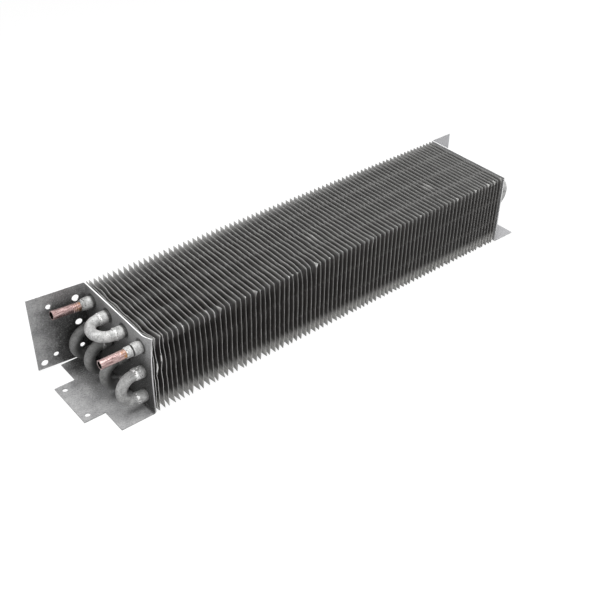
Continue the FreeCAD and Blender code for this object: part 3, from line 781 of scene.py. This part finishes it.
def torch_brazed_filler():
    """Aluminium braze filler, melted and set: pale, lumpy and half shiny, with dark flux pits, and
    painted shade low at the back and in the last column.
    """
    filler = bare_material("torch_brazed_aluminium_filler")
    place = add(filler, "ShaderNodeTexCoord", {})["Object"]
    lump_width = 1.5 * mm
    lumps = add(filler, "ShaderNodeTexNoise",
                {"Vector": place, "Scale": 1 / lump_width, "Detail": 3.0, "Roughness": 0.6})["Fac"]
    spread = add(filler, "ShaderNodeMapRange", {"Value": lumps, "From Min": 0.36, "From Max": 0.6})[0]
    colour = add(filler, "ShaderNodeMix", {0: spread, 6: linear("5e5e5d"), 7: linear("f0f0ef")},
                 data_type="RGBA")[2]
    parts = add(filler, "ShaderNodeSeparateXYZ", {"Vector": place})
    # Painted shade on the rings low at the back and in the last column.
    low_down = add(filler, "ShaderNodeMapRange",
                   {"Value": parts["Z"], "From Min": 56 * mm, "From Max": 48 * mm})[0]
    behind = add(filler, "ShaderNodeMapRange",
                 {"Value": parts["Y"], "From Min": block_front + 20 * mm,
                  "From Max": block_front + 30 * mm, "To Max": 0.75})[0]
    painted_shade = add(filler, "ShaderNodeMath", {0: low_down, 1: behind}, operation="MULTIPLY")[0]
    last_column = add(filler, "ShaderNodeMapRange",
                      {"Value": parts["Y"], "From Min": last_column_front,
                       "From Max": last_column_middle, "To Max": 0.6})[0]
    painted_shade = add(filler, "ShaderNodeMath", {0: painted_shade, 1: last_column}, operation="MAXIMUM")[0]
    colour = add(filler, "ShaderNodeMix", {0: painted_shade, 6: colour, 7: linear("4a4a49")},
                 data_type="RGBA")[2]
    normal = add(filler, "ShaderNodeBump", {"Height": lumps, "Strength": 0.6, "Distance": 0.3 * mm})[0]
    surface = add(filler, "ShaderNodeBsdfPrincipled",
                  {"Base Color": colour, "Metallic": 0.4, "Roughness": 0.42, "Normal": normal})[0]
    add(filler, "ShaderNodeOutputMaterial", {"Surface": surface})
    return filler


def painted_gap_shade():
    """Painted shade of the gap where the sleeve sits in the front bell: a dull, nearly black line round
    the mouth.
    """
    flux = bare_material("painted_gap_shade_black")
    surface = add(flux, "ShaderNodeBsdfPrincipled",
                  {"Base Color": linear("2c2b2a"), "Roughness": 0.6})[0]
    add(flux, "ShaderNodeOutputMaterial", {"Surface": surface})
    return flux


# The column and row of the two tubes that each return bend joins, from the front and from the foot.
bend_tubes = {
    "front": [(0, 0), (0, 1)],
    "second": [(1, 0), (1, 1)],
    "third": [(2, 0), (2, 1)],
    "back": [(3, 0), (3, 1)],
    "top": [(1, 2), (2, 2)],
}

# How high each fillet stands on its mouth, and how far the filler ran back over the bell. It ran
# a long way on the upper leg of the front bend.
bend_fillet = 1.4 * mm
bend_overrun = 1.5 * mm
long_overrun = 6 * mm
sleeve_fillet = 0.6 * mm
sleeve_overrun = 0.3 * mm
stub_fillet = 0.9 * mm
stub_overrun = 0.8 * mm
seed_step = 7
filler_finish = torch_brazed_filler()
gap_shade_finish = painted_gap_shade()
seed = 0
for name, tubes in bend_tubes.items():
    rings = bmesh.new()
    for column, row in tubes:
        seed += seed_step
        overrun = long_overrun if (column, row) == (0, 1) else bend_overrun
        braze_ring(rings, column_y[column], row_z[row], bell_mouth, tube_radius, bell_radius,
                   bend_fillet, overrun, seed)
    rings_mesh = bpy.data.meshes.new("brazing_of_bend_" + name)
    rings.to_mesh(rings_mesh)
    rings_mesh.materials.append(filler_finish)
    show_piece(rings_mesh, "braze_rings_bend_" + name)

for name, column, sleeve_mouth in (("front", 0, front_sleeve_mouth), ("back", 3, back_sleeve_mouth)):
    rings = bmesh.new()
    seed += seed_step
    braze_ring(rings, column_y[column], row_z[2], bell_mouth, tube_radius, bell_radius,
               sleeve_fillet, sleeve_overrun, seed)
    # The front bell's ring is painted nearly black, as shade in the gap round the sleeve.
    if name == "front":
        for face in rings.faces:
            face.material_index = 1
    seed += seed_step
    braze_ring(rings, column_y[column], row_z[2], sleeve_mouth, stub_neck_radius, tube_radius,
               stub_fillet, stub_overrun, seed)
    rings_mesh = bpy.data.meshes.new("brazing_of_stub_" + name)
    rings.to_mesh(rings_mesh)
    rings_mesh.materials.append(filler_finish)
    rings_mesh.materials.append(gap_shade_finish)
    show_piece(rings_mesh, "braze_rings_stub_" + name)


# The copper stubs: two cut lengths of soft copper tube, brazed into the sleeves. The torch left
# them golden brown near the joint. The back one has tool marks and points a little upwards.

bore_limit = 3.3 * mm  # just outside the stubs' bore


def heat_tinted_copper(name, axis_point, axis, joint_x):
    """Soft copper tube: salmon pink with lengthwise scratches, golden brown from the heat of its joint
    at joint_x. The bore round its axis is painted black, and not metallic, as shade."""
    copper = bare_material(name)
    place = add(copper, "ShaderNodeTexCoord", {})["Object"]
    scratch_width = 0.7 * mm  # real drawing scratches are finer and would not show
    lengthwise = add(copper, "ShaderNodeMapping", {"Vector": place, "Scale": (0.08, 1.0, 1.0)})[0]
    scratches = add(copper, "ShaderNodeTexNoise",
                    {"Vector": lengthwise, "Scale": 1 / scratch_width, "Detail": 3.0})["Fac"]
    mottle_width = 2.5 * mm
    mottle = add(copper, "ShaderNodeTexNoise",
                 {"Vector": place, "Scale": 1 / mottle_width, "Detail": 4.0, "Roughness": 0.65})["Fac"]
    worn = add(copper, "ShaderNodeMapRange", {"Value": scratches, "From Min": 0.35, "From Max": 0.65})[0]
    colour = add(copper, "ShaderNodeMix", {0: worn, 6: linear("705352"), 7: linear("d0b5b2")},
                 data_type="RGBA")[2]
    along = add(copper, "ShaderNodeSeparateXYZ", {"Vector": place})["X"]
    wander = add(copper, "ShaderNodeMath", {0: mottle, 1: 10 * mm}, operation="MULTIPLY")[0]
    along = add(copper, "ShaderNodeMath", {0: along, 1: wander}, operation="ADD")[0]
    heated = add(copper, "ShaderNodeMapRange",
                 {"Value": along, "From Min": joint_x - 3 * mm, "From Max": joint_x + 4 * mm})[0]
    tint = add(copper, "ShaderNodeMapRange", {"Value": mottle, "From Min": 0.42, "From Max": 0.6})[0]
    tint = add(copper, "ShaderNodeMath", {0: tint, 1: heated}, operation="MULTIPLY")[0]
    from_axis = add(copper, "ShaderNodeVectorMath", {0: place, 1: axis_point}, operation="SUBTRACT")[0]
    across = add(copper, "ShaderNodeVectorMath", {0: from_axis, 1: axis}, operation="CROSS_PRODUCT")[0]
    radius = add(copper, "ShaderNodeVectorMath", {0: across}, operation="LENGTH")["Value"]
    # Painted shade: the bore is black.
    painted_bore_shade = add(copper, "ShaderNodeMath", {0: radius, 1: bore_limit}, operation="LESS_THAN")[0]
    for amount, tone in ((tint, "9c7248"), (painted_bore_shade, "17110f")):
        colour = add(copper, "ShaderNodeMix", {0: amount, 6: colour, 7: linear(tone)},
                     data_type="RGBA")[2]
    normal = add(copper, "ShaderNodeBump",
                 {"Height": mottle, "Strength": 0.5, "Distance": 0.3 * mm})[0]
    normal = add(copper, "ShaderNodeBump",
                 {"Height": scratches, "Strength": 0.3, "Distance": 0.1 * mm, "Normal": normal})[0]
    rough = add(copper, "ShaderNodeMapRange",
                {"Value": mottle, "From Min": 0.35, "From Max": 0.65, "To Min": 0.2, "To Max": 0.42})[0]
    metal = add(copper, "ShaderNodeMapRange", {"Value": painted_bore_shade, "To Min": 0.85, "To Max": 0.0})[0]
    surface = add(copper, "ShaderNodeBsdfPrincipled",
                  {"Base Color": colour, "Metallic": metal, "Roughness": rough, "Normal": normal})[0]
    add(copper, "ShaderNodeOutputMaterial", {"Surface": surface})
    return copper


stub_tilt = math.radians(5)
bend_start = back_sleeve_mouth - 1 * mm
bend_radius = 26 * mm
front_axis = Vector((-1, 0, 0))
back_axis = Vector((-math.cos(stub_tilt), 0, math.sin(stub_tilt)))
bend_end = Vector((bend_start - bend_radius * math.sin(stub_tilt), column_y[3],
                   row_z[2] + bend_radius * (1 - math.cos(stub_tilt))))
dress("copper_stub_front",
      heat_tinted_copper("heat_tinted_copper_front", Vector((front_sleeve_mouth, column_y[0], row_z[2])),
                         front_axis, front_sleeve_mouth))
dress("copper_stub_back",
      heat_tinted_copper("heat_tinted_copper_back", bend_end, back_axis, back_sleeve_mouth))


# The stage: a plain white floor, weak even light with soft lamps overhead, in front and beyond the
# far end, and the camera in front of the near end.

def seen(owner):
    """Whether a ray comes straight from the camera, off something glossy or through glass."""
    rays = add(owner, "ShaderNodeLightPath", {})
    direct = add(owner, "ShaderNodeMath", {0: rays["Is Camera Ray"], 1: rays["Is Glossy Ray"]},
                 operation="MAXIMUM")[0]
    return add(owner, "ShaderNodeMath", {0: direct, 1: rays["Is Transmission Ray"]},
               operation="MAXIMUM")[0]


def white_paper():
    """Matt white paper, white to the camera and in reflections, with the object's soft shadow."""
    paper = bare_material("matt_white_paper")
    matt = add(paper, "ShaderNodeBsdfDiffuse", {"Color": linear("8c8c8c")})[0]
    half_matt = add(paper, "ShaderNodeBsdfDiffuse", {"Color": linear("707070")})[0]
    glow = add(paper, "ShaderNodeEmission", {"Strength": 0.9})[0]
    shown = add(paper, "ShaderNodeAddShader", {0: glow, 1: half_matt})[0]
    surface = add(paper, "ShaderNodeMixShader", {0: seen(paper), 1: matt, 2: shown})[0]
    add(paper, "ShaderNodeOutputMaterial", {"Surface": surface})
    return paper


floor_half_width = 3.0
floor_drop = 0.1 * mm
floor_shape = bmesh.new()
bmesh.ops.create_grid(floor_shape, x_segments=1, y_segments=1, size=floor_half_width,
                      matrix=Matrix.Translation((0, 0, -floor_drop)))
floor_mesh = bpy.data.meshes.new("floor")
floor_shape.to_mesh(floor_mesh)
floor_mesh.materials.append(white_paper())
floor = bpy.data.objects.new("floor", floor_mesh)
bpy.context.scene.collection.objects.link(floor)

world = bpy.data.worlds.new("light_tent")
bpy.context.scene.world = world
world.use_nodes = True
world.node_tree.nodes.clear()
tent = add(world, "ShaderNodeBackground", {"Color": linear("ffffff"), "Strength": 0.08})[0]
white = add(world, "ShaderNodeBackground", {"Color": linear("ffffff"), "Strength": 1.0})[0]
tent_surface = add(world, "ShaderNodeMixShader", {0: seen(world), 1: tent, 2: white})[0]
add(world, "ShaderNodeOutputWorld", {"Surface": tent_surface})

# Each lamp's width, its power in watts, its place and the point that it faces.
lamps = {
    "softbox_overhead": (1.0, 15.5, Vector((-0.35, -0.05, 1.25)), Vector((-0.05, 0, 0.03))),
    "softbox_front": (0.4, 4.8, Vector((-0.35, -1.1, 0.5)), Vector((-0.15, 0, 0.03))),
    "softbox_far_end": (0.5, 9, Vector((1.1, -0.45, 0.75)), Vector((0.15, 0, 0.03))),
}
for name, (width, power, lamp_place, target) in lamps.items():
    lamp_data = bpy.data.lights.new(name, "AREA")
    lamp_data.size = width
    lamp_data.energy = power
    lamp = bpy.data.objects.new(name, lamp_data)
    bpy.context.scene.collection.objects.link(lamp)
    lamp.location = lamp_place
    lamp.rotation_mode = "QUATERNION"
    lamp.rotation_quaternion = (target - lamp_place).to_track_quat("-Z", "Y")

# The photo's own view, fitted to the corners of the end plates and to the twelve tubes: the lens
# and sensor in millimetres, the camera's place, its right-hand side and where it looks.
camera_lens = 56.985
camera_sensor = 36.0
camera_place = Vector((-0.47121, -0.56297, 0.54342))
to_right = Vector((0.77295, -0.63430, 0.01462))
looking = Vector((0.51469, 0.61339, -0.59904))
upwards = to_right.cross(looking)
camera_data = bpy.data.cameras.new("camera")
camera_data.lens = camera_lens
camera_data.sensor_width = camera_sensor
camera = bpy.data.objects.new("camera", camera_data)
bpy.context.scene.collection.objects.link(camera)
bpy.context.scene.camera = camera
camera.location = camera_place
camera.rotation_mode = "QUATERNION"
camera.rotation_quaternion = Matrix((to_right, upwards, -looking)).transposed().to_quaternion()
bpy.context.scene.view_settings.view_transform = "Standard"
